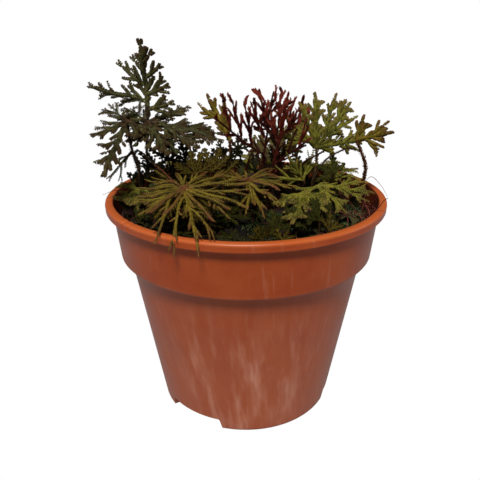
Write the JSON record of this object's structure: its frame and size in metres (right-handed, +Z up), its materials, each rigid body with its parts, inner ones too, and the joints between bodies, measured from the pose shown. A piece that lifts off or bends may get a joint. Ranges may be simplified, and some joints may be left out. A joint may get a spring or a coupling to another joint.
{
  "type": "potted sanguinea spikemoss",
  "caption": "Small spikemoss plant with flat, finely branched green and deep red sprays growing from compost in a round tapered nursery pot with a rolled rim.",
  "frame": {"origin": "on the pot's axis, at the level of the surface that its feet stand on", "axes": "+Z up, -Y towards the viewer of the picture, +X to the viewer's right"},
  "size_m": [0.1217, 0.1231, 0.159],
  "materials": {
    "pot_plastic": "satin moulded polypropylene, terracotta colour, lightly scuffed",
    "compost": "moist dark peat compost",
    "dark_leaf": "dark bronze green scale leaves",
    "green_leaf": "fresh green scale leaves",
    "yellow_leaf": "yellow green scale leaves with reddish tips",
    "red_leaf": "deep ruby undersides of the scale leaves",
    "moss": "soft small moss on the compost",
    "roots": "thin wiry rhizophores and root hairs"
  },
  "bodies": {
    "root": {"pot": "pot_plastic", "soil": "compost", "tall_spray": "dark_leaf", "left_spray": "dark_leaf", "drooping_stem": "dark_leaf", "front_rosette": "yellow_leaf", "middle_spray": "yellow_leaf", "yellow_sprig": "yellow_leaf", "right_sprig": "yellow_leaf", "right_fan": "green_leaf", "right_low_fan": "green_leaf", "middle_right_spray": "green_leaf", "front_fan": "green_leaf", "left_rim_sprig": "green_leaf", "dark_sprig": "dark_leaf", "red_spray_left": "red_leaf", "red_spray_right": "red_leaf", "red_spray_back": "red_leaf", "back_left_spray": "green_leaf", "back_spray": "green_leaf", "back_fan": "green_leaf", "back_right_spray": "green_leaf"}
  },
  "joints": []
}
